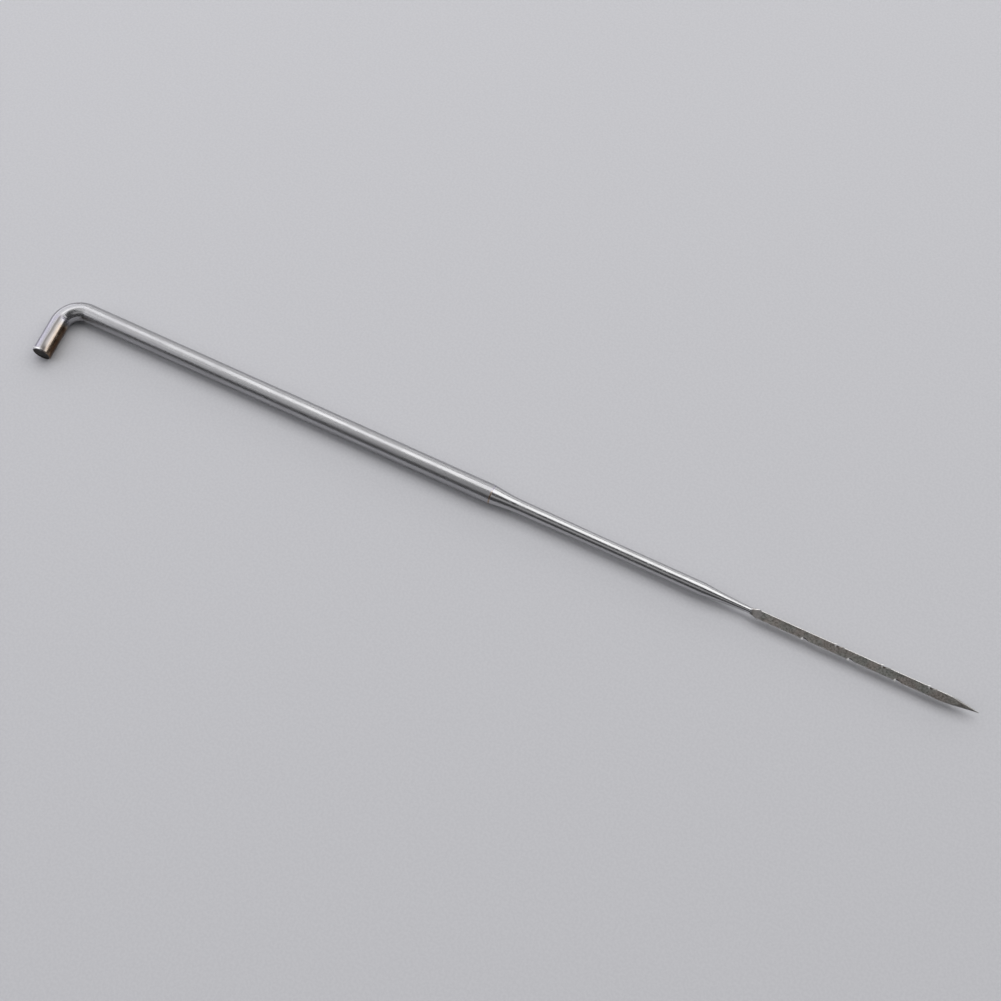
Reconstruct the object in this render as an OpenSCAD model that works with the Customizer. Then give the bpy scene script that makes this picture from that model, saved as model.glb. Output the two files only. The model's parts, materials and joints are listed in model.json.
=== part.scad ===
// Felting needle: a steel wire needle that lies with its crank flat. +X runs along the shank
// to the tip, the crank's leg turns towards -Y, and the origin is where the shank meets the bend.

/* [Shank] */
// Diameter of the wire, which the shank and the crank keep
shank_d = 1.83; // [1.4:0.01:2.4]
// Straight shank, from the crank's bend to the first taper
shank_len = 43; // [25:0.1:60]

/* [Crank] */
// Radius of the bend at the wire's centre line
bend_r = 2; // [1.5:0.1:4]
// Angle that the wire turns through in the bend, in degrees
bend_angle = 95; // [80:1:100]
// Straight leg, from the bend to the sheared end
leg_len = 3.6; // [2:0.1:8]
// Width of the broken edge round the sheared end
end_chamfer = 0.08; // [0.02:0.01:0.2]

/* [Intermediate section] */
// Length of the taper from the shank to the intermediate section
upper_taper_len = 2.7; // [1.5:0.1:6]
// Diameter where that taper ends and the slow run-out starts
swage_d = 1.33; // [1.25:0.01:1.4]
// Length of the slow run-out from the taper to the even diameter
runout_len = 8; // [4:0.5:12]
// Even diameter of the intermediate section
middle_d = 1.21; // [1:0.01:1.24]
// Length of the even part of the intermediate section
middle_len = 10; // [6:0.5:30]
// Steepness of both tapers at their start: 1 is a straight cone
taper_curve = 1.5; // [1:0.1:2.5]

/* [Blade] */
// Length of the taper from the intermediate section to the neck
lower_taper_len = 4.4; // [3:0.1:8]
// Diameter of the neck, the thinnest round place
neck_d = 0.6; // [0.5:0.01:0.7]
// Length over which the three corners rise out of the neck
rise_len = 1; // [0.5:0.1:2]
// Distance from the tip to the end of the full three-cornered section
working_len = 20; // [19:0.5:30]
// Width of each flat face, corner to corner before rounding
blade_side = 0.92; // [0.8:0.01:1.1]
// Radius that rounds the three corners
corner_r = 0.06; // [0.03:0.01:0.08]
// Turn of the corners about the axis: at 0 one corner points the way the crank's leg does
blade_turn = 0; // [-60:5:60]

/* [Point] */
// Half angle of the ground point, in degrees
point_angle = 9.5; // [8:0.1:16]
// Radius of the tip itself
tip_r = 0.03; // [0.02:0.01:0.06]

/* [Barbs] */
// Barbs cut in each of the three corners
barbs_per_corner = 3; // [1:1:3]
// Distance from the tip to the first barb
first_barb = 4.5; // [3.5:0.1:6]
// Distance along the blade from one barb to the next, which is on the next corner
barb_step = 1.42; // [1.1:0.02:1.6]
// Depth of the throat below the corner
throat_depth = 0.17; // [0.08:0.01:0.2]
// Length of the throat, from the barb to where the corner is whole again
throat_len = 0.75; // [0.4:0.05:0.9]
// Length of the throat's flat floor
throat_floor = 0.1; // [0.05:0.01:0.2]
// How far the throat reaches back under the barb
undercut = 0.04; // [0:0.01:0.08]
// Height that the barb is kicked up above the corner
kick_h = 0.05; // [0.02:0.01:0.1]
// Length of the kicked-up back of the barb
kick_len = 0.4; // [0.2:0.05:0.6]
// Width of the kicked-up back of the barb
kick_w = 0.12; // [0.08:0.01:0.16]

/* [Hidden] */
$fn = 96;

shank_r = shank_d / 2;
corners = 3;
corner_gap = 360 / corners;
taper_steps = 12;
// How deep the foot of a kicked-up barb sits in the corner
kick_foot = 0.02;

// Distances from the axis to the triangle's sharp corner, its rounding centres and its rounded corner
sharp_r = blade_side / (2 * sin(corner_gap / 2));
rounding_r = sharp_r - 2 * corner_r;
corner_reach = sharp_r - corner_r;

// The cone touches the tip's ball, and the point ends where the cone reaches the rounded corners
point_len = tip_r + (corner_reach - tip_r / cos(point_angle)) / tan(point_angle);
neck_at = working_len + rise_len;
middle_at = neck_at + lower_taper_len;
swage_at = middle_at + middle_len + runout_len;
shank_at = swage_at + upper_taper_len;
tip_x = shank_at + shank_len;

// Places its children with their +Z away from the tip, at this distance from the tip
module from_tip(distance) {
    translate([tip_x - distance, 0, 0])
        rotate([0, -90, 0])
            children();
}

// Carries its children round the bend by this angle, from the shank's end at 0, with their +Y along the wire
module round_the_bend(angle) {
    translate([0, -bend_r, 0])
        rotate([0, 0, 90 + angle])
            translate([bend_r, 0, 0])
                children();
}

// Turns its children so that +X points out through the corner with this number
module at_corner(number) {
    rotate([0, 0, -90 + blade_turn + number * corner_gap])
        children();
}

// Radius of a ground taper at a share of its length
function taper_r(share, thin_r, thick_r) = thin_r + (thick_r - thin_r) * pow(share, taper_curve);

// A round taper from thin_r to thick_r along +Z
module taper(len, thin_r, thick_r) {
    rotate_extrude()
        polygon(concat(
            [[0, 0]],
            [for (i = [0 : taper_steps]) [taper_r(i / taper_steps, thin_r, thick_r), len * i / taper_steps]],
            [[0, len]]
        ));
}

// Outline of the blade across its length: flats between rounded corners
module blade_outline() {
    polygon([for (i = [0 : corners - 1]) for (side = [-1, 1])
        let (out = i * corner_gap, facing = out + side * corner_gap / 2)
        rounding_r * [cos(out), sin(out)] + corner_r * [cos(facing), sin(facing)]]);
    for (i = [0 : corners - 1])
        rotate(i * corner_gap)
            translate([rounding_r, 0])
                circle(corner_r);
}

// The three-cornered bar from one distance to another, measured from the tip along +Z
module blade_bar(from, to) {
    translate([0, 0, from])
        at_corner(0)
            linear_extrude(to - from)
                blade_outline();
}

// The round space that the blade fills: it narrows to the neck over the rise
module blade_envelope() {
    rotate_extrude()
        polygon([
            [0, point_len],
            [sharp_r, point_len],
            [sharp_r, working_len],
            [neck_d / 2, neck_at],
            [0, neck_at]
        ]);
}

// A plate in the plane of the axis and the +X corner, from an outline of [distance, height over the corner]
module corner_plate(outline, width) {
    translate([0, width / 2, 0])
        rotate([90, 0, 0])
            linear_extrude(width)
                polygon([for (p = outline) [corner_reach + p[1], p[0]]]);
}

// The throat that is cut out on the tip's side of a barb at this distance
module throat(distance) {
    corner_plate([
        [distance, kick_h * 2],
        [distance, 0],
        [distance + undercut, -throat_depth],
        [distance - throat_floor, -throat_depth],
        [distance - throat_len, 0],
        [distance - throat_len, kick_h * 2]
    ], blade_side);
}

// The kicked-up back of a barb at this distance
module kick_up(distance) {
    corner_plate([
        [distance, kick_h],
        [distance + kick_len, -kick_foot],
        [distance, -kick_foot]
    ], kick_w);
}

// Runs its children once for each barb: the corner changes by one from barb to barb
module each_barb() {
    for (i = [0 : barbs_per_corner * corners - 1])
        at_corner(1 + i) {
            $barb_at = first_barb + i * barb_step;
            children();
        }
}

module crank_leg() {
    color("silver")
        round_the_bend(bend_angle)
            rotate([-90, 0, 0]) {
                cylinder(leg_len - end_chamfer, r = shank_r);
                translate([0, 0, leg_len - end_chamfer])
                    cylinder(end_chamfer, shank_r, shank_r - end_chamfer);
            }
}

module crank_bend() {
    color("silver")
        translate([0, -bend_r, 0])
            rotate([0, 0, 90])
                rotate_extrude(angle = bend_angle)
                    translate([bend_r, 0])
                        circle(shank_r);
}

module shank() {
    color("lightgray")
        from_tip(shank_at)
            cylinder(shank_len, r = shank_r);
}

module upper_taper() {
    color("gainsboro")
        from_tip(swage_at)
            taper(upper_taper_len, swage_d / 2, shank_r);
}

module intermediate_section() {
    color("silver")
        from_tip(middle_at) {
            cylinder(middle_len, r = middle_d / 2);
            translate([0, 0, middle_len])
                cylinder(runout_len, middle_d / 2, swage_d / 2);
        }
}

module lower_taper() {
    color("gainsboro")
        from_tip(neck_at)
            taper(lower_taper_len, neck_d / 2, middle_d / 2);
}

module blade() {
    color("darkgray")
        from_tip(0) {
            difference() {
                intersection() {
                    blade_bar(point_len, neck_at);
                    blade_envelope();
                }
                each_barb() throat($barb_at);
            }
            each_barb() kick_up($barb_at);
        }
}

module point() {
    cone_from = tip_r * (1 - sin(point_angle));
    color("gray")
        from_tip(0)
            intersection() {
                union() {
                    translate([0, 0, tip_r])
                        sphere(tip_r);
                    translate([0, 0, cone_from])
                        cylinder(point_len - cone_from, tip_r * cos(point_angle), corner_reach);
                }
                blade_bar(0, point_len);
            }
}

crank_leg();
crank_bend();
shank();
upper_taper();
intermediate_section();
lower_taper();
blade();
point();
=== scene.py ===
import json
import math

import bmesh
import bpy
from mathutils import Matrix, Vector, noise


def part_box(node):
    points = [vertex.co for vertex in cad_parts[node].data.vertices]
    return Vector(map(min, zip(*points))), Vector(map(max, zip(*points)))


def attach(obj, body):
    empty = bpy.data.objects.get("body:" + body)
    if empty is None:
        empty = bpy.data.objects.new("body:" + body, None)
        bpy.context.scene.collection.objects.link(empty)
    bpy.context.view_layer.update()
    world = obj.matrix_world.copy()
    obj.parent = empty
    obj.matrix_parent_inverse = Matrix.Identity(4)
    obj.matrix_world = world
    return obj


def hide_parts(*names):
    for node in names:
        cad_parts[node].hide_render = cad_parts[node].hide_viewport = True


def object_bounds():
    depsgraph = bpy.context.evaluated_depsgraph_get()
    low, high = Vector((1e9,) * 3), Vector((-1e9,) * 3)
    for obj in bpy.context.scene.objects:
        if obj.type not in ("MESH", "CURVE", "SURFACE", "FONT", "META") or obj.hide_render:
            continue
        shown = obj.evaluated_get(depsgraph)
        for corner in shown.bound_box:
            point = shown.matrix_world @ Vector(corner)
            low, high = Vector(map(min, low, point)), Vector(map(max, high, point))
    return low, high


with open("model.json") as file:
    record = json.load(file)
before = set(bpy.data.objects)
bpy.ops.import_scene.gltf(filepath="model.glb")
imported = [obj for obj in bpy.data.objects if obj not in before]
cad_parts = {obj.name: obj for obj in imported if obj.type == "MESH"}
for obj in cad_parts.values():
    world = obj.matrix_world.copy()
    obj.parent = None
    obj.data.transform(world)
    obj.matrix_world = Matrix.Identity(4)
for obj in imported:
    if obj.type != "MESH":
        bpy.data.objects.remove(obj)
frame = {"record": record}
cad_low, cad_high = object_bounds()
MM = 0.001


# The view. The needle lies flat with its crank to the left, and the camera looks down on it from
# the side that the crank's leg points to, near enough that the tip's end comes out larger.
LOOK_AT = Vector((43.91, -0.2, 0)) * MM
LOOK_TURN = math.radians(26.18)
LOOK_DOWN = math.radians(66)
LOOK_FROM = 135.5 * MM
NEAREST = 2 * MM
FARTHEST = 20000 * MM
PICTURE_SIDE = 1001
FOCAL_PIXELS = 1500

camera = bpy.data.objects.new("camera", bpy.data.cameras.new("camera"))
bpy.context.collection.objects.link(camera)
bpy.context.scene.camera = camera
camera_back = Vector((
    math.sin(LOOK_TURN) * math.cos(LOOK_DOWN),
    -math.cos(LOOK_TURN) * math.cos(LOOK_DOWN),
    math.sin(LOOK_DOWN),
))
camera.location = LOOK_AT + camera_back * LOOK_FROM
camera.rotation_euler = camera_back.to_track_quat("Z", "Y").to_euler()
camera.data.lens = camera.data.sensor_width * FOCAL_PIXELS / PICTURE_SIDE
camera.data.clip_start = NEAREST
camera.data.clip_end = FARTHEST
bpy.context.scene.view_settings.view_transform = "Standard"


# The board under the needle: matt pale card, pressed with a fine even grain. The shank and the crank
# rest on it, and the thinner sections hang just clear of it. Far off, the card and the room behind
# it run together in one pale tone.
BOARD_SIDE = 6000 * MM
BOARD_PALE = (0.56, 0.56, 0.58, 1)
BOARD_DEEP = (0.533, 0.533, 0.554, 1)
BOARD_GRAIN = 0.22 * MM
BOARD_RANGE = (0.35, 0.65)
BOARD_ROUGH = 0.85
BOARD_SHEEN = 0.2
FAR_PALE = (0.58, 0.58, 0.6, 1)
FAR_FROM = 160 * MM
FAR_FULL = 340 * MM


def node(tree, kind, sockets=(), **settings):
    """Adds a node; each of its sockets takes a plain value or the output of another node."""
    made = tree.nodes.new("ShaderNode" + kind)
    for name, value in settings.items():
        setattr(made, name, value)
    for key, value in dict(sockets).items():
        if isinstance(value, bpy.types.NodeSocket):
            tree.links.new(value, made.inputs[key])
        else:
            made.inputs[key].default_value = value
    return made


def worked(tree, operation, *terms):
    """The result of a sum on numbers."""
    return node(tree, "Math", dict(enumerate(terms)), operation=operation).outputs[0]


def mixed(tree, share, first, second, blend_type="MIX"):
    """The colour that lies this share of the way from the first to the second."""
    # A Mix node keeps its two numbers in sockets 2 and 3, and its two colours in 6 and 7
    sockets = {0: share, 6: first, 7: second}
    return node(tree, "Mix", sockets, data_type="RGBA", blend_type=blend_type).outputs[2]


def ranged(tree, value, start, end, low=0.0, high=1.0, way="LINEAR"):
    """Goes evenly from low to high while the value goes from start to end."""
    sockets = {"Value": value, "From Min": start, "From Max": end, "To Min": low, "To Max": high}
    return node(tree, "MapRange", sockets, interpolation_type=way).outputs["Result"]


def faded(tree, value, start, end, low=0.0, high=1.0):
    """Goes softly from low to high while the value goes from start to end."""
    return ranged(tree, value, start, end, low, high, "SMOOTHSTEP")


board_mesh = bpy.data.meshes.new("board")
board_build = bmesh.new()
bmesh.ops.create_grid(board_build, x_segments=1, y_segments=1, size=BOARD_SIDE / 2)
board_build.to_mesh(board_mesh)
board_build.free()
board = bpy.data.objects.new("board", board_mesh)
bpy.context.collection.objects.link(board)
board.location.z = cad_low.z
card = bpy.data.materials.new("pale_card")
card.use_nodes = True
card_tree = card.node_tree
card_shader = card_tree.nodes["Principled BSDF"]
card_shader.inputs["Roughness"].default_value = BOARD_ROUGH
card_shader.inputs["Specular IOR Level"].default_value = BOARD_SHEEN
card_place = node(card_tree, "TexCoord").outputs["Object"]
card_grain = node(card_tree, "TexNoise", {"Vector": card_place, "Scale": 1 / BOARD_GRAIN, "Detail": 2})
card_share = faded(card_tree, card_grain.outputs["Fac"], *BOARD_RANGE)
card_tree.links.new(mixed(card_tree, card_share, BOARD_PALE, BOARD_DEEP), card_shader.inputs["Base Color"])
card_away = node(card_tree, "VectorMath", {0: card_place}, operation="LENGTH").outputs["Value"]
card_seen = node(card_tree, "LightPath").outputs["Is Camera Ray"]
card_far = worked(card_tree, "MULTIPLY", faded(card_tree, card_away, FAR_FROM, FAR_FULL), card_seen)
card_haze = node(card_tree, "Emission", {"Color": FAR_PALE})
card_shown = node(card_tree, "MixShader", {0: card_far, 1: card_shader.outputs[0], 2: card_haze.outputs[0]})
card_tree.links.new(card_shown.outputs[0], card_tree.nodes["Material Output"].inputs["Surface"])
board_mesh.materials.append(card)


# The light: one large soft panel leans over the needle from behind and makes its bright line and its
# shadow. Weaker ones stand low behind, beside the crank, above the crank's front and in front, in a
# dim room that is paler behind.
PANEL_AWAY = 420 * MM
COOL_LIGHT = (0.96, 0.96, 1.0)
ROOM_DEEP = (0.085, 0.085, 0.088, 1)
ROOM_PALE = (0.36, 0.36, 0.37, 1)
ROOM_PALE_WAY = (-0.5, 0.85, 0)
ROOM_PALE_FULL = 0.75
ROOM_PALE_TOP = (0.3, 0.8)


def soft_panel(name, tip_lean, back_lean, length, width, glow, tint=(1, 1, 1)):
    """A panel that faces the needle, leaning from straight up; a glow of 1 is white."""
    light = bpy.data.lights.new(name, "AREA")
    light.shape = "RECTANGLE"
    light.size = length * MM
    light.size_y = width * MM
    light.energy = glow * math.pi * light.size * light.size_y
    light.color = tint
    panel = bpy.data.objects.new(name, light)
    bpy.context.collection.objects.link(panel)
    away = Vector((math.tan(math.radians(tip_lean)), math.tan(math.radians(back_lean)), 1)).normalized()
    across = away.cross(Vector((1, 0, 0))).normalized()
    panel.location = LOOK_AT + PANEL_AWAY * away
    panel.rotation_euler = Matrix((across.cross(away), across, away)).transposed().to_euler()


soft_panel("main_panel", tip_lean=9, back_lean=27, length=720, width=350, glow=2.0)
soft_panel("low_back_panel", tip_lean=-6, back_lean=71, length=700, width=194, glow=0.8)
soft_panel("crank_panel", tip_lean=-62, back_lean=0, length=428, width=800, glow=1.25, tint=COOL_LIGHT)
soft_panel("top_front_panel", tip_lean=-27, back_lean=-11.5, length=210, width=186, glow=0.85)
soft_panel("front_panel", tip_lean=-8, back_lean=-38, length=420, width=186, glow=0.4)
room = bpy.data.worlds.new("room")
bpy.context.scene.world = room
room.use_nodes = True
room_tree = room.node_tree
room_way = node(room_tree, "TexCoord").outputs["Generated"]
room_back = node(room_tree, "VectorMath", {0: room_way, 1: ROOM_PALE_WAY}, operation="DOT_PRODUCT")
room_height = node(room_tree, "SeparateXYZ", {0: room_way}).outputs["Z"]
room_behind = faded(room_tree, room_back.outputs["Value"], 0, ROOM_PALE_FULL)
room_low = faded(room_tree, room_height, *ROOM_PALE_TOP, 1, 0)
room_share = worked(room_tree, "MULTIPLY", room_behind, room_low)
room_glow = mixed(room_tree, room_share, ROOM_DEEP, ROOM_PALE)
room_seen = node(room_tree, "LightPath").outputs["Is Camera Ray"]
room_shown = mixed(room_tree, room_seen, room_glow, FAR_PALE)
room_tree.links.new(room_shown, room_tree.nodes["Background"].inputs["Color"])


# The shank: hard bright steel wire, drawn through a round die that leaves fine lines along it. It
# stays at the wire's full size, so that a board or a handle can grip it.
SHANK_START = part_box("shank")[0].x / MM
SHANK_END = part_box("shank")[1].x / MM
WIRE_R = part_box("shank")[1].z / MM
BEND_R = -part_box("crank_bend")[0].x / MM - WIRE_R
LEG_MOUNT = next(m for m in frame["record"]["mounts"] if m["name"] == "crank_leg")
BEND_TURN = math.pi / 2 + math.asin(LEG_MOUNT["axis"][0])
AROUND = 128
SHANK_STEPS = 44
SHARP_FROM = math.radians(35)
WIRE_STEEL = (0.472, 0.47, 0.481, 1)
LINE_RANGE = (0.85, 1.65)
FINE_SHARE = 1.5
MARK_AXES = ((0.2, 1, 0.3), (0.1, -0.4, 1))
MARK_LEAN = 0.35
MARK_LIMITS = (0.8, 0.5)
MARK_EDGE = 0.06
MARK_ROUGH = 0.12
MARK_DEPTH = 0.0015
FILM_RANGE = (0.38, 0.66)
FILM_SHADE = 0.93
FILM_ROUGH = 0.05
# The tints that heat leaves, from none at 0 to burnt at 1; the darkest are also painted shade on the leg
TEMPER_COLOURS = (
    (0.12, (0.99, 0.96, 1.07, 1)),
    (0.3, (1.0, 0.985, 1.02, 1)),
    (0.47, (0.94, 0.9, 0.88, 1)),
    (0.66, (0.94, 0.85, 0.77, 1)),
    (0.79, (0.97, 0.81, 0.66, 1)),
    (0.87, (0.84, 0.62, 0.44, 1)),
    (0.93, (0.45, 0.3, 0.19, 1)),
)
BURNT_AND_SHADED_BROWN = (0.2, 0.11, 0.06, 1)
RING_STAIN = 0.2
RING_HEAT = 0.88
RING_SIDES = (0.3, -0.3)
RING_BACK = 0.1


def bent(place):
    """Where a place on the straight wire is once the crank is bent, in millimetres."""
    past = max(SHANK_START - place[0], 0)
    turn = min(past / BEND_R, BEND_TURN)
    along = Vector((-math.cos(turn), -math.sin(turn), 0))
    out = Vector((-math.sin(turn), math.cos(turn), 0))
    centre = Vector((SHANK_START, -BEND_R, 0))
    run = Vector((max(place[0] - SHANK_START, 0), 0, 0)) + along * (past - BEND_R * turn)
    return centre + out * (BEND_R + place[1]) + run + Vector((0, 0, place[2]))


def round_ring(x, radius):
    """A ring of places round the straight wire, in millimetres."""
    angles = [2 * math.pi * i / AROUND for i in range(AROUND)]
    return [Vector((x, radius * math.cos(a), radius * math.sin(a))) for a in angles]


def skin(name, rings):
    """A closed mesh through rings of places on the straight wire. Each point keeps its place there,
    so that lines and marks follow the wire round the bend."""
    build = bmesh.new()
    place_of = build.verts.layers.float_vector.new("wire_place")
    rows = []
    for ring in rings:
        row = [build.verts.new(bent(place) * MM) for place in ring]
        for corner, place in zip(row, ring):
            corner[place_of] = place
        rows.append(row)
    for near, far in zip(rows, rows[1:]):
        for i, corner in enumerate(near):
            j = (i + 1) % len(near)
            build.faces.new((corner, near[j], far[j], far[i])).smooth = True
    build.faces.new(rows[0][::-1])
    build.faces.new(rows[-1])
    bmesh.ops.recalc_face_normals(build, faces=build.faces)
    mesh = bpy.data.meshes.new(name)
    build.to_mesh(mesh)
    build.free()
    mesh.set_sharp_from_angle(angle=SHARP_FROM)
    piece = bpy.data.objects.new(name, mesh)
    bpy.context.collection.objects.link(piece)
    return piece


def put_in_place(piece, node_name):
    """Puts the piece in its section's place."""
    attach(piece, "root")
    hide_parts(node_name)


def effect(name, inputs, outputs):
    """An empty effect: a node group with named inputs, each with its usual value, and outputs."""
    group = bpy.data.node_groups.new(name, "ShaderNodeTree")
    for label, value in inputs.items():
        kind = {float: "NodeSocketFloat", tuple: "NodeSocketColor"}.get(type(value), "NodeSocketVector")
        socket = group.interface.new_socket(label, in_out="INPUT", socket_type=kind)
        if value is not None:
            socket.default_value = value
    for label, kind in outputs.items():
        group.interface.new_socket(label, in_out="OUTPUT", socket_type="NodeSocket" + kind)
    given = group.nodes.new("NodeGroupInput").outputs
    result = group.nodes.new("NodeGroupOutput").inputs
    return group, given, result


def placed(tree, group, **sockets):
    """The outputs of an effect, placed in a material with its own values."""
    return node(tree, "Group", sockets, node_tree=group).outputs


def stretched(tree, place, length, width):
    """The place, squeezed so that a pattern of size 1 comes out this long and this wide."""
    size = node(tree, "CombineXYZ", {"X": length, "Y": width, "Z": width}).outputs[0]
    return node(tree, "VectorMath", {0: place, 1: size}, operation="DIVIDE").outputs[0]


def parts_of(tree, place):
    """The parts of a place, along the wire, to its outer side and up, or of a point's three marks."""
    return node(tree, "SeparateXYZ", {0: place}).outputs


drawn_lines, given, result = effect(
    "drawn_lines", {"Place": None, "Spacing": 0.1, "Length": 9.0}, {"Tone": "Float"})
line_place = stretched(drawn_lines, given["Place"], given["Length"], given["Spacing"])
fine_lines = node(
    drawn_lines, "TexNoise", {"Vector": line_place, "Scale": 1, "Detail": 3, "Roughness": 0.6})
broad_lines = node(drawn_lines, "TexNoise", {"Vector": line_place, "Scale": 0.23, "Detail": 1})
both_lines = worked(
    drawn_lines, "MULTIPLY_ADD", fine_lines.outputs["Fac"], FINE_SHARE, broad_lines.outputs["Fac"])
drawn_lines.links.new(ranged(drawn_lines, both_lines, *LINE_RANGE), result["Tone"])

stray_marks, given, result = effect(
    "stray_marks", {"Place": None, "Width": 0.06, "Length": 1.6, "Share": 0.3}, {"Mark": "Float"})
mark_limit = ranged(stray_marks, given["Share"], 0, 1, *MARK_LIMITS)
crossed_marks = []
for axis in MARK_AXES:
    leant = node(stray_marks, "VectorRotate", {"Vector": given["Place"], "Axis": axis, "Angle": MARK_LEAN})
    mark_place = stretched(stray_marks, leant.outputs[0], given["Length"], given["Width"])
    mark_noise = node(stray_marks, "TexNoise", {"Vector": mark_place, "Scale": 1, "Detail": 0})
    over = worked(stray_marks, "SUBTRACT", mark_noise.outputs["Fac"], mark_limit)
    crossed_marks.append(faded(stray_marks, over, 0, MARK_EDGE))
stray_marks.links.new(worked(stray_marks, "MAXIMUM", *crossed_marks), result["Mark"])

dull_film, given, result = effect("dull_film", {"Place": None, "Size": 2.5}, {"Film": "Float"})
film_place = stretched(dull_film, given["Place"], given["Size"], given["Size"])
film_noise = node(dull_film, "TexNoise", {"Vector": film_place, "Scale": 1, "Detail": 4, "Roughness": 0.65})
dull_film.links.new(faded(dull_film, film_noise.outputs["Fac"], *FILM_RANGE), result["Film"])

temper_colour, given, result = effect(
    "temper_colour", {"Steel": (0.5, 0.5, 0.5, 1), "Heat": 0.0}, {"Colour": "Color"})
heat_ramp = node(temper_colour, "ValToRGB", {0: given["Heat"]})
heat_stops = heat_ramp.color_ramp.elements
for share, colour in TEMPER_COLOURS:
    heat_stops.new(share).color = colour
heat_stops[0].color = (1, 1, 1, 1)
heat_stops[-1].color = BURNT_AND_SHADED_BROWN
heated = mixed(temper_colour, 1.0, given["Steel"], heat_ramp.outputs["Color"], "MULTIPLY")
temper_colour.links.new(heated, result["Colour"])

# A faint brown ring where the swaging starts, fainter still on the back of the wire
ring_stain, given, result = effect("ring_stain", {"Place": None}, {"Heat": "Float"})
ring_along, ring_out, _ = parts_of(ring_stain, given["Place"])
ring_away = worked(ring_stain, "ABSOLUTE", worked(ring_stain, "SUBTRACT", ring_along, SHANK_END))
ring_heat = faded(ring_stain, ring_away, 0, RING_STAIN, RING_HEAT, 0)
ring_front = ranged(ring_stain, ring_out, *RING_SIDES, RING_BACK, 1)
ring_stain.links.new(worked(ring_stain, "MULTIPLY", ring_heat, ring_front), result["Heat"])


def written(tree, name):
    """The three values that a mesh keeps at each of its points under this name."""
    return node(tree, "Attribute", attribute_name=name).outputs["Vector"]


def shaded(tree, colour, shade):
    """The colour, darkened by a shade below 1 or lightened by one above it."""
    grey = node(tree, "CombineColor", {0: shade, 1: shade, 2: shade}).outputs[0]
    return mixed(tree, 1.0, colour, grey, "MULTIPLY")


def bumped(material, height, depth, sunk=False):
    """Raises the surface where the height is 1, or sinks it; the depth is in millimetres."""
    tree = material.node_tree
    normal = tree.nodes["Principled BSDF"].inputs["Normal"]
    bump = node(tree, "Bump", {"Height": height, "Distance": depth * MM}, invert=sunk)
    if normal.is_linked:
        tree.links.new(normal.links[0].from_socket, bump.inputs["Normal"])
    tree.links.new(bump.outputs[0], normal)


def steel(name, heat=None, colour=WIRE_STEEL, spacing=0.1, length=9.0, depth=0.0012, tone=0.7,
          bright=0.22, dull=0.33, marks=0.2):
    """Bare steel with lines along it, stray marks and a thin dull film, in millimetres."""
    material = bpy.data.materials.new(name)
    material.use_nodes = True
    tree = material.node_tree
    shader = tree.nodes["Principled BSDF"]
    shader.inputs["Metallic"].default_value = 1
    place = written(tree, "wire_place")
    line = placed(tree, drawn_lines, Place=place, Spacing=spacing, Length=length)["Tone"]
    mark = placed(tree, stray_marks, Place=place, Share=marks)["Mark"]
    film = placed(tree, dull_film, Place=place)["Film"]
    hot = placed(tree, heat, Place=place)["Heat"] if heat else 0
    tinted = placed(tree, temper_colour, Steel=colour, Heat=hot)["Colour"]
    shade = ranged(tree, line, 0, 1, tone, 1)
    shade = worked(tree, "MULTIPLY", shade, ranged(tree, film, 0, 1, 1, FILM_SHADE))
    tree.links.new(shaded(tree, tinted, shade), shader.inputs["Base Color"])
    rough = ranged(tree, line, 0, 1, dull, bright)
    rough = worked(tree, "MULTIPLY_ADD", film, FILM_ROUGH, rough)
    rough = worked(tree, "MULTIPLY_ADD", mark, MARK_ROUGH, rough)
    tree.links.new(rough, shader.inputs["Roughness"])
    bumped(material, line, depth)
    bumped(material, mark, MARK_DEPTH, sunk=True)
    return material


def refinished(material, share, colour, rough):
    """Gives the places with a share another colour and roughness."""
    tree = material.node_tree
    shader = tree.nodes["Principled BSDF"]
    before = shader.inputs["Base Color"].links[0].from_socket
    tree.links.new(mixed(tree, share, before, colour), shader.inputs["Base Color"])
    before = shader.inputs["Roughness"].links[0].from_socket
    roughened = node(tree, "Mix", {0: share, 2: before, 3: rough}).outputs[0]
    tree.links.new(roughened, shader.inputs["Roughness"])


shank_len = SHANK_END - SHANK_START
shank = skin("shank_wire", [
    round_ring(SHANK_START + shank_len * i / SHANK_STEPS, WIRE_R) for i in range(SHANK_STEPS + 1)])
shank.data.materials.append(steel("shank_steel", ring_stain))
put_in_place(shank, "shank")


# The upper taper: the same wire, swaged down by hammering dies. It starts at a crisp ring on the
# shank, falls away steeply there and runs out softly into the intermediate section.
UPPER_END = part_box("upper_taper")[1].x / MM
SWAGE_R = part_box("intermediate_section")[1].z / MM
TAPER_CURVE = 1.5
TAPER_STEPS = 48
DIE_LINE_AT = 0.045
DIE_LINE_WIDTH = 0.0225
DIE_LINE_DEPTH = 0.014
DIE_LINE_RINGS = (0.015, 0.03, 0.045, 0.06, 0.08, 0.11)
SWAGED_STEEL = (0.52, 0.518, 0.526, 1)


def taper_radius(share, thick, thin):
    """The radius this share of the way down a taper that runs out softly."""
    return thin + (thick - thin) * (1 - share) ** TAPER_CURVE


def taper_rings(start, end, thick, thin):
    """Rings from the thick to the thin end of a taper."""
    shares = [i / TAPER_STEPS for i in range(TAPER_STEPS + 1)]
    return [round_ring(start + (end - start) * share, taper_radius(share, thick, thin)) for share in shares]


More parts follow.
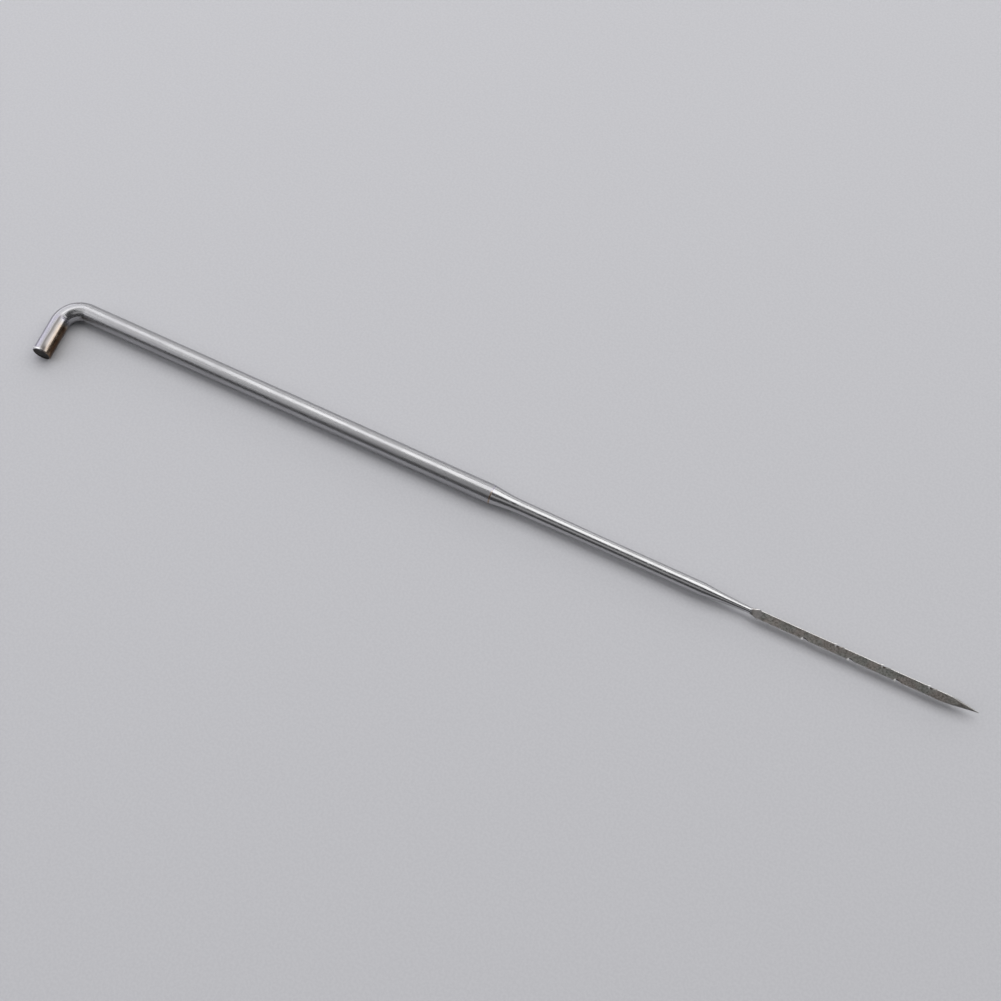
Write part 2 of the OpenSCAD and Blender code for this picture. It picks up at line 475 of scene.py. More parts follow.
upper_rings = taper_rings(SHANK_END, UPPER_END, WIRE_R, SWAGE_R)
for past in DIE_LINE_RINGS:
    bite = DIE_LINE_DEPTH * math.exp(-((past - DIE_LINE_AT) / DIE_LINE_WIDTH) ** 2)
    radius = taper_radius(past / (UPPER_END - SHANK_END), WIRE_R, SWAGE_R)
    upper_rings.append(round_ring(SHANK_END + past, radius - bite))
upper_rings.sort(key=lambda ring: ring[0].x)
upper_taper = skin("upper_taper_wire", upper_rings)
upper_taper.data.materials.append(steel(
    "taper_steel", ring_stain, SWAGED_STEEL, spacing=0.08, length=3.0, depth=0.0009,
    tone=0.8, bright=0.14, dull=0.22, marks=0.1))
put_in_place(upper_taper, "upper_taper")


# The intermediate section: swaged wire that first runs out slowly and then keeps one even size. It
# stays springy and bright, with long fine lines.
MIDDLE_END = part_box("intermediate_section")[1].x / MM
MIDDLE_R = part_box("lower_taper")[1].z / MM
RUNOUT_LEN = 8
RUNOUT_STEPS = 16
EVEN_STEPS = 12

middle_rings = []
for i in range(RUNOUT_STEPS + 1):
    share = i / RUNOUT_STEPS
    middle_rings.append(round_ring(UPPER_END + RUNOUT_LEN * share, SWAGE_R + (MIDDLE_R - SWAGE_R) * share))
even_start = UPPER_END + RUNOUT_LEN
for i in range(1, EVEN_STEPS + 1):
    middle_rings.append(round_ring(even_start + (MIDDLE_END - even_start) * i / EVEN_STEPS, MIDDLE_R))
middle = skin("intermediate_wire", middle_rings)
middle.data.materials.append(steel(
    "middle_steel", None, SWAGED_STEEL, spacing=0.08, length=7.0, depth=0.0009,
    tone=0.8, bright=0.16, dull=0.24, marks=0.12))
put_in_place(middle, "intermediate_section")


# The lower taper: wire swaged a second time, from the intermediate section down to the thin round
# neck behind the blade. It carries the shortest and finest lines.
NECK_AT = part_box("lower_taper")[1].x / MM
NECK_R = 0.3

lower_taper = skin("lower_taper_wire", taper_rings(MIDDLE_END, NECK_AT, MIDDLE_R, NECK_R))
lower_taper.data.materials.append(steel(
    "lower_steel", None, SWAGED_STEEL, spacing=0.06, length=2.5, depth=0.0007,
    tone=0.8, bright=0.13, dull=0.21, marks=0.1))
put_in_place(lower_taper, "lower_taper")


# The blade: the wire's end pressed between dies to three flat faces with rounded corners. Barbs are struck
# in the corners one after the other: each leaves a throat and a small kicked-up tooth. Wool rubs the
# corners and the teeth bright, the teeth carry a painted glint too, the throats carry painted shade, and
# the flats stay satin grey.
TIP_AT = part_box("point")[1].x / MM
POINT_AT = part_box("point")[0].x / MM
CORNERS = 3
CORNER_TURN = -math.pi / 2
CORNER_GAP = 2 * math.pi / CORNERS
HALF_GAP = CORNER_GAP / 2
BLADE_SIDE = 0.92
CORNER_R = 0.06
SHARP_R = BLADE_SIDE / (2 * math.sin(HALF_GAP))
CORNER_REACH = SHARP_R - CORNER_R
ROUNDING_AT = SHARP_R - 2 * CORNER_R
CORNER_EDGE = math.atan2(CORNER_R * math.sin(HALF_GAP), ROUNDING_AT + CORNER_R * math.cos(HALF_GAP))
WIDEST_EDGE = math.radians(54)
FLAT_AT = SHARP_R / 2
FLAT_SAMPLES = 9
CAP_SAMPLES = 7
SOFT_EDGE = 0.004
START_SOFT = 0.055
RISE_LEN = 1.0
RISE_STEPS = 20
RISE_SPARE = 0.02
FLAT_START = 0.1
FLAT_RISE = 0.85
FLAT_SPARE = 0.03
BODY_STEP = 0.3
LAST_STEP = 0.1
LAST_STEPS = 8
BARBS = 9
FIRST_BARB = 4.5
BARB_STEP = 1.42
BARB_RINGS = (0.4, 0.32, 0.24, 0.17, 0.11, 0.06, 0.02, -0.03, -0.06)
THROAT_DEPTH = 0.17
THROAT_LEN = 0.75
THROAT_FLOOR = 0.1
THROAT_STEPS = 8
UNDERCUT = 0.04
PUNCH_TOP = 0.12
PUNCH_PAST = 0.05
PUNCH_CLEAR = 0.02
KICK_H = 0.09
KICK_AHEAD = 0.05
KICK_LEN = 0.4
KICK_CURVE = 1.7
KICK_SPREAD = math.radians(12)
POINT_ANGLE = math.radians(9.5)
TIP_R = 0.03
LEAST_R = 0.001
HONED = 0.17
HONED_LEN = 0.6
PRESSED_STEEL = (0.361, 0.346, 0.332, 1)
PRESSED_ROUGH = 0.34
MOTTLED = 0.6
GRAIN_RANGE = (0.36, 0.64)
GRAIN_DEPTH = 0.0016
PIT_EDGE = (0.22, 0.1)
PIT_PATCHES = (0.52, 0.62)
PIT_SHADE = 0.55
PIT_DEPTH = 0.004
DRIFT_RANGE = (0.35, 0.65)
WARM_FILM = (1.05, 0.99, 0.95, 1)
COOL_FILM = (0.96, 1.01, 0.98, 1)
NECK_FADE = (0, 0.3)
START_PAINTED_SHADE = (0.2, 0.19, 0.195, 1)
START_FADE = (0.15, 0.5)
START_SHARE = 0.9
START_PAINTED_SHEEN = (0.52, 0.485, 0.49, 1)
SHEEN_RISE = (0.3, 0.55)
SHEEN_FADE = (0.85, 1.3)
SHEEN_SHARE = 0.5
GROUND_STEEL_AND_SHADE = (0.2, 0.192, 0.183, 1)
GROUND_FROM = 0.96
GROUND_FULL = 0.99
WORN_STEEL = (0.66, 0.65, 0.645, 1)
WORN_FALL = 2.8
WORN_LEAST = 0.35
WORN_FULL_R = 0.25
WORN_UNEVEN = 0.5
WORN_EDGE = 0.25
TOOTH_WEAR_AND_GLINT = (0.88, 0.87, 0.86, 1)
TOOTH_FADE = (0.1, 0.45)
SHINE_AHEAD = 0.02
SHINE_LEN = 0.17
SHINE_SPREAD = math.radians(21)
THROAT_PAINTED_SHADE = (0.07, 0.06, 0.053, 1)
THROAT_SHADE_FADE = (0.14, 0.4)

# Each barb's place along the needle and its corner, from the tip back
barb_list = [(TIP_AT - FIRST_BARB - i * BARB_STEP, (1 + i) % CORNERS) for i in range(BARBS)]


def kept(value, low=0.0, high=1.0):
    """The value, kept between two limits."""
    return min(max(value, low), high)


def soft_least(first, second, soft):
    """The lesser of two sizes, with the change from one to the other rounded off."""
    return min(first, second) - soft * math.log1p(math.exp(-abs(first - second) / soft))


def struck_up(x, corner, off):
    """How far the strikes have raised this corner, in a tooth that is highest at its throat."""
    raised = 0
    for barb_x, barb_corner in barb_list:
        behind = barb_x - x
        if barb_corner == corner and -KICK_AHEAD < behind < KICK_LEN:
            climb = 1 - max(behind, 0) / KICK_LEN
            raised += KICK_H * climb ** KICK_CURVE * math.exp(-(off / KICK_SPREAD) ** 2)
    return raised


def ground_limit(from_tip, angle):
    """Radius of the ground cone with its rounded tip: honed slimmer below the first corner."""
    cone_starts = TIP_R * (1 - math.sin(POINT_ANGLE))
    if from_tip < cone_starts:
        return math.sqrt(max(TIP_R ** 2 - (TIP_R - from_tip) ** 2, LEAST_R ** 2))
    radius = TIP_R * math.cos(POINT_ANGLE) + (from_tip - cone_starts) * math.tan(POINT_ANGLE)
    toward = max(math.cos(angle - CORNER_TURN), 0) ** 2
    return radius * (1 - HONED * toward * min(from_tip / HONED_LEN, 1))


def blade_reach(off, flat, limit, soft):
    """From the axis to the skin, this far off a corner: pressed flats, rounded corners, round limit."""
    if abs(off) < CORNER_EDGE and flat <= FLAT_AT:
        inside = CORNER_R ** 2 - (ROUNDING_AT * math.sin(off)) ** 2
        reach = ROUNDING_AT * math.cos(off) + math.sqrt(inside)
    else:
        reach = flat / math.cos(HALF_GAP - abs(off))
    return soft_least(reach, limit, soft)


def blade_ring(x, flat, limit_at, soft):
    """A ring of places round the blade, closest together where the flats meet the corners."""
    places = []
    for corner in range(CORNERS):
        out = CORNER_TURN + corner * CORNER_GAP
        met = HALF_GAP - math.acos(min(flat / limit_at(out), 1))
        edge = kept(met, CORNER_EDGE, WIDEST_EDGE)
        offs = []
        for i in range(FLAT_SAMPLES):
            offs.append(HALF_GAP - (HALF_GAP - edge) * math.sin(math.pi / 2 * i / FLAT_SAMPLES))
        for i in range(CAP_SAMPLES):
            offs.append(edge * math.cos(math.pi / 2 * i / CAP_SAMPLES))
        # The last flat ends where the next corner's begins, so that place is left to it
        for off in [-off for off in offs] + [0] + offs[:0:-1]:
            angle = out + off
            reach = blade_reach(off, flat, limit_at(angle), soft) + struck_up(x, corner, off)
            places.append(Vector((x, reach * math.sin(angle), reach * math.cos(angle))))
    return places


pressed_grain, given, result = effect(
    "pressed_grain", {"Place": None, "Size": 0.19}, {"Tone": "Float", "Pit": "Float", "Film": "Float"})
grain_place = stretched(pressed_grain, given["Place"], given["Size"], given["Size"])
grain_noise = node(
    pressed_grain, "TexNoise", {"Vector": grain_place, "Scale": 1, "Detail": 4, "Roughness": 0.7})
pressed_grain.links.new(ranged(pressed_grain, grain_noise.outputs["Fac"], *GRAIN_RANGE), result["Tone"])
pit_cells = node(pressed_grain, "TexVoronoi", {"Vector": grain_place, "Scale": 0.45})
pit_deep = faded(pressed_grain, pit_cells.outputs["Distance"], *PIT_EDGE)
pit_patches = node(pressed_grain, "TexNoise", {"Vector": grain_place, "Scale": 0.2, "Detail": 1})
pit_share = faded(pressed_grain, pit_patches.outputs["Fac"], *PIT_PATCHES)
pressed_grain.links.new(worked(pressed_grain, "MULTIPLY", pit_deep, pit_share), result["Pit"])
film_drift = node(pressed_grain, "TexNoise", {"Vector": grain_place, "Scale": 0.13, "Detail": 2})
pressed_grain.links.new(faded(pressed_grain, film_drift.outputs["Fac"], *DRIFT_RANGE), result["Film"])

worn_edges, given, result = effect(
    "worn_edges", {"Place": None, "Edge": 0.0, "Start": 0.55}, {"Worn": "Float"})
wear_place = stretched(worn_edges, given["Place"], 0.5, 0.1)
wear_noise = node(worn_edges, "TexNoise", {"Vector": wear_place, "Scale": 1, "Detail": 3})
wear_shift = worked(
    worn_edges, "MULTIPLY_ADD", wear_noise.outputs["Fac"], WORN_UNEVEN, -WORN_UNEVEN / 2)
wear = worked(worn_edges, "ADD", given["Edge"], wear_shift)
wear_end = worked(worn_edges, "ADD", given["Start"], WORN_EDGE)
worn_edges.links.new(faded(worn_edges, wear, given["Start"], wear_end), result["Worn"])

# Where the pressing starts: still bright like the neck, then painted shade, then a short patch of painted
# sheen
blade_start, given, result = effect(
    "blade_start", {"Place": None}, {"Neck": "Float", "PaintedShade": "Float", "PaintedSheen": "Float"})
past_neck = worked(blade_start, "SUBTRACT", parts_of(blade_start, given["Place"])["X"], NECK_AT)
blade_start.links.new(faded(blade_start, past_neck, *NECK_FADE, 1, 0), result["Neck"])
blade_start.links.new(faded(blade_start, past_neck, *START_FADE, START_SHARE, 0), result["PaintedShade"])
sheen_rise = faded(blade_start, past_neck, *SHEEN_RISE)
sheen_fade = faded(blade_start, past_neck, *SHEEN_FADE, SHEEN_SHARE, 0)
blade_start.links.new(worked(blade_start, "MULTIPLY", sheen_rise, sheen_fade), result["PaintedSheen"])


def pressed_steel(name, line_len):
    """Satin steel with grain and pits on its flats, worn bright along its corners."""
    material = steel(
        name, None, PRESSED_STEEL, spacing=0.05, length=line_len, depth=0.0008,
        tone=0.84, bright=PRESSED_ROUGH, dull=PRESSED_ROUGH + 0.1, marks=0.15)
    tree = material.node_tree
    base = tree.nodes["Principled BSDF"].inputs["Base Color"]
    place = written(tree, "wire_place")
    grain = placed(tree, pressed_grain, Place=place)
    start = placed(tree, blade_start, Place=place)
    edge, tooth, ground = parts_of(tree, written(tree, "edge_marks"))
    worn = placed(tree, worn_edges, Place=place, Edge=edge)["Worn"]
    film = mixed(tree, grain["Film"], WARM_FILM, COOL_FILM)
    tinted = mixed(tree, 1.0, base.links[0].from_socket, film, "MULTIPLY")
    shade = ranged(tree, grain["Tone"], 0, 1, MOTTLED, 2 - MOTTLED)
    shade = worked(tree, "MULTIPLY", shade, ranged(tree, grain["Pit"], 0, 1, 1, PIT_SHADE))
    tree.links.new(shaded(tree, tinted, shade), base)
    # Painted sheen, then painted shade, where the pressed flats begin
    refinished(material, start["PaintedSheen"], START_PAINTED_SHEEN, rough=0.32)
    refinished(material, start["PaintedShade"], START_PAINTED_SHADE, rough=0.34)
    refinished(material, start["Neck"], SWAGED_STEEL, rough=0.2)
    # Ground steel on the point's cone, its dark colour partly painted shade
    refinished(material, ground, GROUND_STEEL_AND_SHADE, rough=0.3)
    refinished(material, worn, WORN_STEEL, rough=0.22)
    # Painted glint on the teeth, over their rubbed wear
    refinished(material, faded(tree, tooth, *TOOTH_FADE), TOOTH_WEAR_AND_GLINT, rough=0.42)
    bumped(material, grain["Tone"], GRAIN_DEPTH)
    bumped(material, grain["Pit"], PIT_DEPTH, sunk=True)
    return material


# Painted shade in the throats: darkest where the punch has struck deepest, and paler towards a throat's
# shallow end
struck_steel = pressed_steel("struck_steel", 0.3)
struck_tree = struck_steel.node_tree
struck_along = parts_of(struck_tree, written(struck_tree, "wire_place"))["X"]
past_last_barb = worked(struck_tree, "SUBTRACT", struck_along, barb_list[-1][0])
past_barb = worked(struck_tree, "FLOORED_MODULO", past_last_barb, BARB_STEP)
refinished(struck_steel, faded(struck_tree, past_barb, *THROAT_SHADE_FADE, 1, 0), THROAT_PAINTED_SHADE, rough=0.5)

blade_xs = [NECK_AT + RISE_LEN * i / RISE_STEPS for i in range(RISE_STEPS + 1)]
body_start = NECK_AT + RISE_LEN
body_steps = round((POINT_AT - body_start) / BODY_STEP)
blade_xs += [body_start + (POINT_AT - body_start) * i / body_steps for i in range(body_steps + 1)]
blade_xs += [POINT_AT - LAST_STEP * i for i in range(LAST_STEPS + 1)]
for barb_x, _ in barb_list:
    blade_xs += [barb_x - behind for behind in BARB_RINGS]
blade_rings = []
for x in sorted({round(x, 4) for x in blade_xs}):
    share = min((x - NECK_AT) / RISE_LEN, 1)
    swell = (share + share * share * (3 - 2 * share)) / 2
    limit = NECK_R + (SHARP_R + RISE_SPARE - NECK_R) * swell
    press = kept((x - NECK_AT - FLAT_START) / FLAT_RISE)
    unpressed = NECK_R + FLAT_SPARE
    flat = unpressed + (FLAT_AT - unpressed) * math.sin(press * math.pi / 2)
    # The flats start softest a third of the way along the rise, where the last two factors make 4/27
    soft = SOFT_EDGE + START_SOFT * (27 / 4) * share * (1 - share) ** 2
    blade_rings.append(blade_ring(
        x, flat, lambda angle: min(limit, ground_limit(TIP_AT - x, angle)), soft))
blade = skin("blade_wire", blade_rings)
blade.data.materials.append(pressed_steel("blade_steel", 1.2))

# The punch's outline along the needle: how far past the barb, and how far above the corner's centre
throat_outline = [(0, PUNCH_TOP), (0, 0), (-UNDERCUT, -THROAT_DEPTH), (THROAT_FLOOR, -THROAT_DEPTH)]
for i in range(1, THROAT_STEPS + 1):
    share = i / THROAT_STEPS
    climb = THROAT_DEPTH * (0.5 - 0.5 * math.cos(math.pi * share))
    throat_outline.append((THROAT_FLOOR + (THROAT_LEN - THROAT_FLOOR) * share, climb - THROAT_DEPTH))
throat_outline += [(THROAT_LEN + PUNCH_PAST, PUNCH_CLEAR), (THROAT_LEN + PUNCH_PAST, PUNCH_TOP)]
punch_build = bmesh.new()
for barb_x, barb_corner in barb_list:
    angle = CORNER_TURN + barb_corner * CORNER_GAP
    out = Vector((0, math.sin(angle), math.cos(angle)))
    aside = Vector((0, math.cos(angle), -math.sin(angle))) * BLADE_SIDE / 2
    sides = []
    for side in (-1, 1):
        corners = []
        for ahead, height in throat_outline:
            place = Vector((barb_x + ahead, 0, 0)) + out * (CORNER_REACH + height) + aside * side
            corners.append(punch_build.verts.new(place * MM))
        sides.append(corners)
    punch_build.faces.new(sides[0][::-1])
    punch_build.faces.new(sides[1])
    for i in range(len(throat_outline)):
        j = (i + 1) % len(throat_outline)
        punch_build.faces.new((sides[0][i], sides[0][j], sides[1][j], sides[1][i]))
bmesh.ops.recalc_face_normals(punch_build, faces=punch_build.faces)
punch_mesh = bpy.data.meshes.new("throat_punch")
punch_build.to_mesh(punch_mesh)
punch_build.free()
punch_mesh.materials.append(struck_steel)
punch = bpy.data.objects.new("throat_punch", punch_mesh)
bpy.context.collection.objects.link(punch)
strike = blade.modifiers.new("strike", "BOOLEAN")
strike.operation = "DIFFERENCE"
strike.material_mode = "TRANSFER"
strike.solver = "EXACT"
strike.object = punch
struck_blade = blade.evaluated_get(bpy.context.evaluated_depsgraph_get())
struck_mesh = bpy.data.meshes.new_from_object(struck_blade)
blade.modifiers.clear()
blade.data = struck_mesh
bpy.data.objects.remove(punch)


def rubbed_tooth_and_glint(x, corner, off):
    """How bright the steel that a strike raised here is: rubbed by the wool, and painted as a glint."""
    for barb_x, barb_corner in barb_list:
        behind = barb_x - x
        if barb_corner == corner and -SHINE_AHEAD < behind < KICK_LEN:
            return math.exp(-(behind / SHINE_LEN) ** 2 - (off / SHINE_SPREAD) ** 2)
    return 0


def mark_edges(piece):
    """Writes each point's place on the straight wire, and how far it is on a worn corner, on a tooth
    and on ground steel."""
    places = []
    marks = []
    for corner in piece.data.vertices:
        place = corner.co / MM
        angle = math.atan2(place.y, place.z)
        nearest = round((angle - CORNER_TURN) / CORNER_GAP) % CORNERS
        off = abs((angle - CORNER_TURN + HALF_GAP) % CORNER_GAP - HALF_GAP)
        reach = math.hypot(place.y, place.z)
        filled = reach / ground_limit(TIP_AT - place.x, angle)
        places.extend(place)
        marks.append(1 - WORN_FALL * off * kept(reach / WORN_FULL_R, WORN_LEAST))
        marks.append(rubbed_tooth_and_glint(place.x, nearest, off))
        marks.append(kept((filled - GROUND_FROM) / (GROUND_FULL - GROUND_FROM)))
    attributes = piece.data.attributes
    if "wire_place" in attributes:
        attributes.remove(attributes["wire_place"])
    for name, values in (("wire_place", places), ("edge_marks", marks)):
        attributes.new(name, "FLOAT_VECTOR", "POINT").data.foreach_set("vector", values)


mark_edges(blade)
blade.data.set_sharp_from_angle(angle=SHARP_FROM)
put_in_place(blade, "blade")


# The point: the blade's end ground round on a fine wheel, so that a cone cuts off the three corners
# and leaves each flat face to run out in a long tongue. Close to the tip the flats are ground too.
POINT_STEPS = 40
TIP_RINGS = (0.045, 0.032, 0.024, 0.016, 0.009, 0.004, 0.001)
TONGUE_SHARE = 0.8
TONGUE_FROM = 1.05
TONGUE_RUN = 0.4
TONGUE_SOFT = 0.003
SOFT_FULL = 0.1


def ground_flat(from_tip):
    """From the axis to the flats: near the tip the wheel has taken these in as well."""
    cone = ground_limit(from_tip, CORNER_TURN + math.pi)
    taken_in = TONGUE_SHARE + (1 - TONGUE_SHARE) * kept((TONGUE_FROM - from_tip) / TONGUE_RUN)
    return soft_least(FLAT_AT, cone * taken_in, TONGUE_SOFT)


point_len = TIP_AT - POINT_AT
point_rings = []
for from_tip in [point_len * (1 - i / POINT_STEPS) for i in range(POINT_STEPS)] + list(TIP_RINGS):
    point_rings.append(blade_ring(
        TIP_AT - from_tip, ground_flat(from_tip), lambda angle: ground_limit(from_tip, angle),
        SOFT_EDGE * min(from_tip / SOFT_FULL, 1)))
point = skin("point_wire", point_rings)
mark_edges(point)
point.data.materials.append(pressed_steel("point_steel", 0.1))
put_in_place(point, "point")


# The crank's bend: the plain wire bent cold round a peg, so it keeps its thickness. The peg has left a few
# short creases across the inside of the bend, and a dull dark line runs along the wire at one angle round
# it.
BEND_STEPS = 60
BEND_LEN = BEND_R * BEND_TURN
# How far each crease is past the shank, how wide and how deep
CREASES = (
    (2.5, 0.05, 0.012),
    (2.64, 0.045, 0.022),
    (2.8, 0.05, 0.028),
    (2.98, 0.05, 0.014),
)
CREASE_RINGS = (-1.5, -1, -0.5, 0, 0.5, 1, 1.5)
CREASE_MIDDLE = math.radians(140)
CREASE_REACH = math.radians(30)
HEAT_FROM = 2.5
HEAT_FULL = 3.9
HEAT_AND_SHADE_SIDES = (0.35 * WIRE_R, -0.98 * WIRE_R)
HEAT_AND_SHADE_SHARES = (0.12, 1)
HEAT_UNEVEN = (0.93, 1.05)
CLOUD_RANGE = (0.3, 0.7)
DARK_LINE_AT = math.radians(101)
DARK_LINE_WAVER = 0.03
DARK_LINE_RISE = (-0.26, -0.06)
DARK_LINE_FADE = (-0.04, 0.38)
DARK_LINE_SHARE = 0.9
DARK_LINE_FROM = 2.4
DARK_LINE_FULL = 3.2
DARK_LINE_STEEL = (0.15, 0.142, 0.138, 1)


def crease_depth(past, angle):
    """How deep the creases are here, in millimetres."""
    across = math.exp(-((angle - CREASE_MIDDLE) / CREASE_REACH) ** 4)
    return across * sum(deep * math.exp(-((past - at) / width) ** 2) for at, width, deep in CREASES)


# Straw to brown on the inner side of the leg, fading out in the bend: a heat tint whose dark brown is also
# painted shade
leg_heat_and_shade, given, result = effect("leg_heat_and_shade", {"Place": None}, {"Heat": "Float"})
heat_along, heat_out, _ = parts_of(leg_heat_and_shade, given["Place"])
# Painted shade: the tint darkens to brown towards the leg's inner side
inner_heat_and_shade = ranged(leg_heat_and_shade, heat_out, *HEAT_AND_SHADE_SIDES, *HEAT_AND_SHADE_SHARES)
heat_past = faded(leg_heat_and_shade, heat_along, SHANK_START - HEAT_FROM, SHANK_START - HEAT_FULL)
heat_cloud = node(leg_heat_and_shade, "TexNoise", {"Vector": given["Place"], "Scale": 1.6, "Detail": 3})
heat_uneven = ranged(leg_heat_and_shade, heat_cloud.outputs["Fac"], *CLOUD_RANGE, *HEAT_UNEVEN)
heat_and_shade_here = worked(leg_heat_and_shade, "MULTIPLY", inner_heat_and_shade, heat_past)
leg_heat_and_shade.links.new(worked(leg_heat_and_shade, "MULTIPLY", heat_and_shade_here, heat_uneven), result["Heat"])

# A dull dark line along the leg and the bend, at one angle round the wire
dark_wire_line, given, result = effect("dark_wire_line", {"Place": None}, {"Line": "Float"})
line_along, line_out, line_up = parts_of(dark_wire_line, given["Place"])
line_noise = node(dark_wire_line, "TexNoise", {"Vector": given["Place"], "Scale": 0.8, "Detail": 1})
line_middle = ranged(
    dark_wire_line, line_noise.outputs["Fac"], *CLOUD_RANGE, DARK_LINE_AT - DARK_LINE_WAVER, DARK_LINE_AT + DARK_LINE_WAVER)
line_turn = worked(dark_wire_line, "ARCTAN2", line_up, line_out)
line_off = worked(dark_wire_line, "SUBTRACT", line_turn, line_middle)
line_rise = faded(dark_wire_line, line_off, *DARK_LINE_RISE)
line_fade = faded(dark_wire_line, line_off, *DARK_LINE_FADE, DARK_LINE_SHARE, 0)
line_past = faded(dark_wire_line, line_along, SHANK_START - DARK_LINE_FROM, SHANK_START - DARK_LINE_FULL)
line_here = worked(dark_wire_line, "MULTIPLY", line_rise, line_fade)
dark_wire_line.links.new(worked(dark_wire_line, "MULTIPLY", line_here, line_past), result["Line"])


def crank_steel(name):
    """The crank's steel: heat tints with painted shade on the leg's inner side, and a dull dark line along
    the wire.
    """
    material = steel(name, leg_heat_and_shade, bright=0.18, dull=0.27)
    tree = material.node_tree
    dark_lined = placed(tree, dark_wire_line, Place=written(tree, "wire_place"))["Line"]
    refinished(material, dark_lined, DARK_LINE_STEEL, rough=0.4)
    return material


bend_pasts = {BEND_LEN * i / BEND_STEPS for i in range(BEND_STEPS + 1)}
for at, width, _ in CREASES:
    bend_pasts |= {at + width * side for side in CREASE_RINGS}
bend_rings = []
for past in sorted(bend_pasts):
    ring = round_ring(SHANK_START - past, WIRE_R)
    for place in ring:
        shrink = 1 - crease_depth(past, math.atan2(place.z, place.y)) / WIRE_R
        place.y *= shrink
        place.z *= shrink
    bend_rings.append(ring)
bend = skin("crank_bend_wire", bend_rings)
bend.data.materials.append(crank_steel("crank_steel"))
put_in_place(bend, "crank_bend")


# The crank's leg: the short end of the wire that keeps the needle from turning in its board. It is sheared
# off, which turns up a small lip on one side, pinches the wire beside it and rounds the rest of the edge
# over. The lip's near white is a painted highlight, the pinch's dark is painted shade, and the torn end's
# dark is partly painted shade.
END_CHAMFER = 0.08
END_INSIDE = 0.02
LEG_LEN = LEG_MOUNT["dims"]["length_mm"] + END_CHAMFER - END_INSIDE
LEG_START = SHANK_START - BEND_LEN
LEG_END = LEG_START - LEG_LEN
LEG_RINGS = (0, 0.5, 1.0, 1.5, 2.0, 2.4, 2.7, 2.9, 3.05, 3.15, 3.22, 3.28, 3.33, 3.37, 3.41, 3.44)
LIP_AT = math.radians(62)
LIP_SPREAD = math.radians(38)
LIP_FLARE = 0.12
LIP_PEAK = 0.08
LIP_LEN = 0.1
LIP_SHINE_LEN = 0.2
LIP_TOP = WIRE_R + 0.04
PINCH_AT = math.radians(111)
PINCH_SPREAD = math.radians(12)
PINCH_DEPTH = 0.09
PINCH_LEN = 0.45
PINCH_SHADE_LEN = 0.5
ROLLED = 0.11
ROLL_STEPS = 7
SHEAR_FROM = 0.6
SHINE_UNTIL = 0.75
SHEAR_RINGS = (0.97, 0.93, 0.87, 0.78, 0.66, 0.54, 0.42, 0.3, 0.18, 0.08)
SHEAR_DEPTH = 0.07
SHEAR_LEAST = 0.5
SHEAR_SLANT = 0.8
SHEAR_RUN = 0.1
TORN_RUN = 0.2
# How fine and how deep the torn face is, coarse first
TORN = ((3.1, 0.02), (9.0, 0.008))
LIP_HIGHLIGHT_STEEL = (0.86, 0.855, 0.86, 1)
PINCH_PAINTED_SHADE = (0.1, 0.085, 0.078, 1)
SHEARED_STEEL_AND_SHADE = (0.03, 0.025, 0.022, 1)


def turned_from(angle, middle):
    """The angle between two directions round the wire."""
    return abs((angle - middle + math.pi) % (2 * math.pi) - math.pi)


def lip_share(angle):
    """How far the lip is turned up in this direction round the wire."""
    return math.exp(-(turned_from(angle, LIP_AT) / LIP_SPREAD) ** 4)


def pinch_share(angle):
    """How far the shear's jaw has pinched the wire in this direction."""
    return math.exp(-(turned_from(angle, PINCH_AT) / PINCH_SPREAD) ** 2)


def leg_place(angle, from_end, inward=0.0):
    """A place on the leg's skin, which flares to the lip and is pinched beside that."""
    flare = LIP_FLARE * lip_share(angle) * math.exp(-((from_end - LIP_PEAK) / LIP_LEN) ** 2)
    pinch = PINCH_DEPTH * pinch_share(angle) * math.exp(-(from_end / PINCH_LEN) ** 2)
    radius = WIRE_R + flare - pinch - inward
    return Vector((LEG_END + from_end, radius * math.cos(angle), min(radius * math.sin(angle), LIP_TOP)))


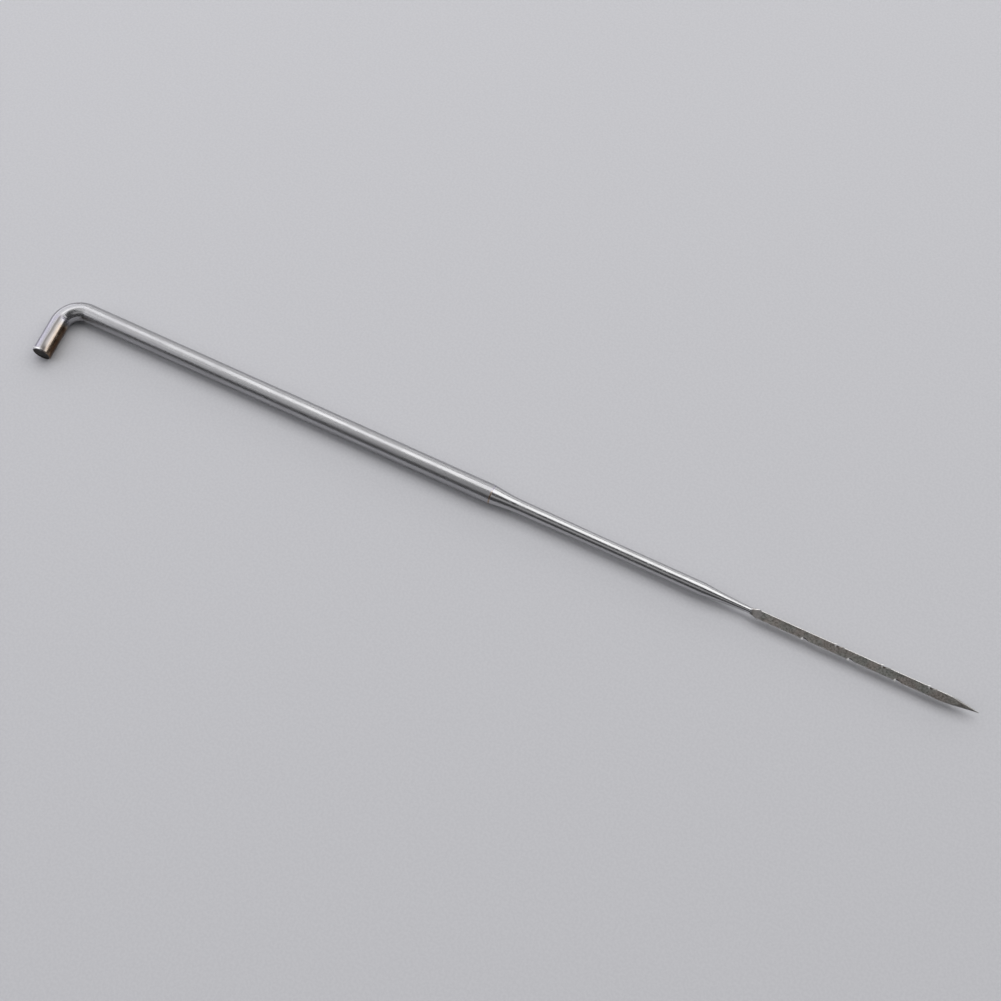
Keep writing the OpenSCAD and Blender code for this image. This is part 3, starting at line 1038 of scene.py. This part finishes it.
# Each point's marks say how far it is sheared, on the lip's painted highlight and in the pinch's painted
# shade
leg_rings = []
leg_marks = []
leg_angles = [2 * math.pi * i / AROUND for i in range(AROUND)]
for past in LEG_RINGS:
    from_end = LEG_LEN - past
    leg_rings.append([leg_place(angle, from_end) for angle in leg_angles])
    for angle in leg_angles:
        lip_highlight = lip_share(angle) * math.exp(-(from_end / LIP_SHINE_LEN) ** 4)
        pinch_shade = pinch_share(angle) * math.exp(-(from_end / PINCH_SHADE_LEN) ** 2)
        leg_marks += (0, lip_highlight, pinch_shade)
for step in range(1, ROLL_STEPS + 1):
    share = step / ROLL_STEPS
    turn = math.pi / 2 * share
    from_end = ROLLED * (1 - math.sin(turn))
    leg_rings.append([leg_place(angle, from_end, ROLLED * (1 - math.cos(turn))) for angle in leg_angles])
    sheared = max(share - SHEAR_FROM, 0) / (1 - SHEAR_FROM)
    dulled = max(share - SHINE_UNTIL, 0) / (1 - SHINE_UNTIL)
    for angle in leg_angles:
        leg_marks += (sheared * (1 - lip_share(angle)), lip_share(angle) * (1 - dulled), pinch_share(angle))
rim_ring = leg_rings[-1]
for share in SHEAR_RINGS:
    ring = []
    for rim in rim_ring:
        place = Vector((LEG_END, rim.y * share, rim.z * share))
        torn = sum(noise.noise(place * fineness) * depth for fineness, depth in TORN)
        toward = (place.y * math.cos(LIP_AT) + place.z * math.sin(LIP_AT)) / WIRE_R
        sunk = SHEAR_DEPTH * (SHEAR_LEAST + SHEAR_SLANT * max(toward, 0))
        place.x += sunk * min((1 - share) / SHEAR_RUN, 1) + torn * min((1 - share) / TORN_RUN, 1)
        ring.append(place)
        leg_marks += (1, 0, 0)
    leg_rings.append(ring)
leg = skin("crank_leg_wire", leg_rings)
leg.data.attributes.new("end_marks", "FLOAT_VECTOR", "POINT").data.foreach_set("vector", leg_marks)
leg_steel = crank_steel("leg_steel")
leg_tree = leg_steel.node_tree
sheared, lip_highlight, pinch_shade = parts_of(leg_tree, written(leg_tree, "end_marks"))
# Painted shade in the pinch's hollow, a painted highlight on the lip, and the torn end darkened partly as
# painted shade
refinished(leg_steel, pinch_shade, PINCH_PAINTED_SHADE, rough=0.42)
refinished(leg_steel, lip_highlight, LIP_HIGHLIGHT_STEEL, rough=0.3)
refinished(leg_steel, sheared, SHEARED_STEEL_AND_SHADE, rough=0.5)
leg.data.materials.append(leg_steel)
put_in_place(leg, "crank_leg")
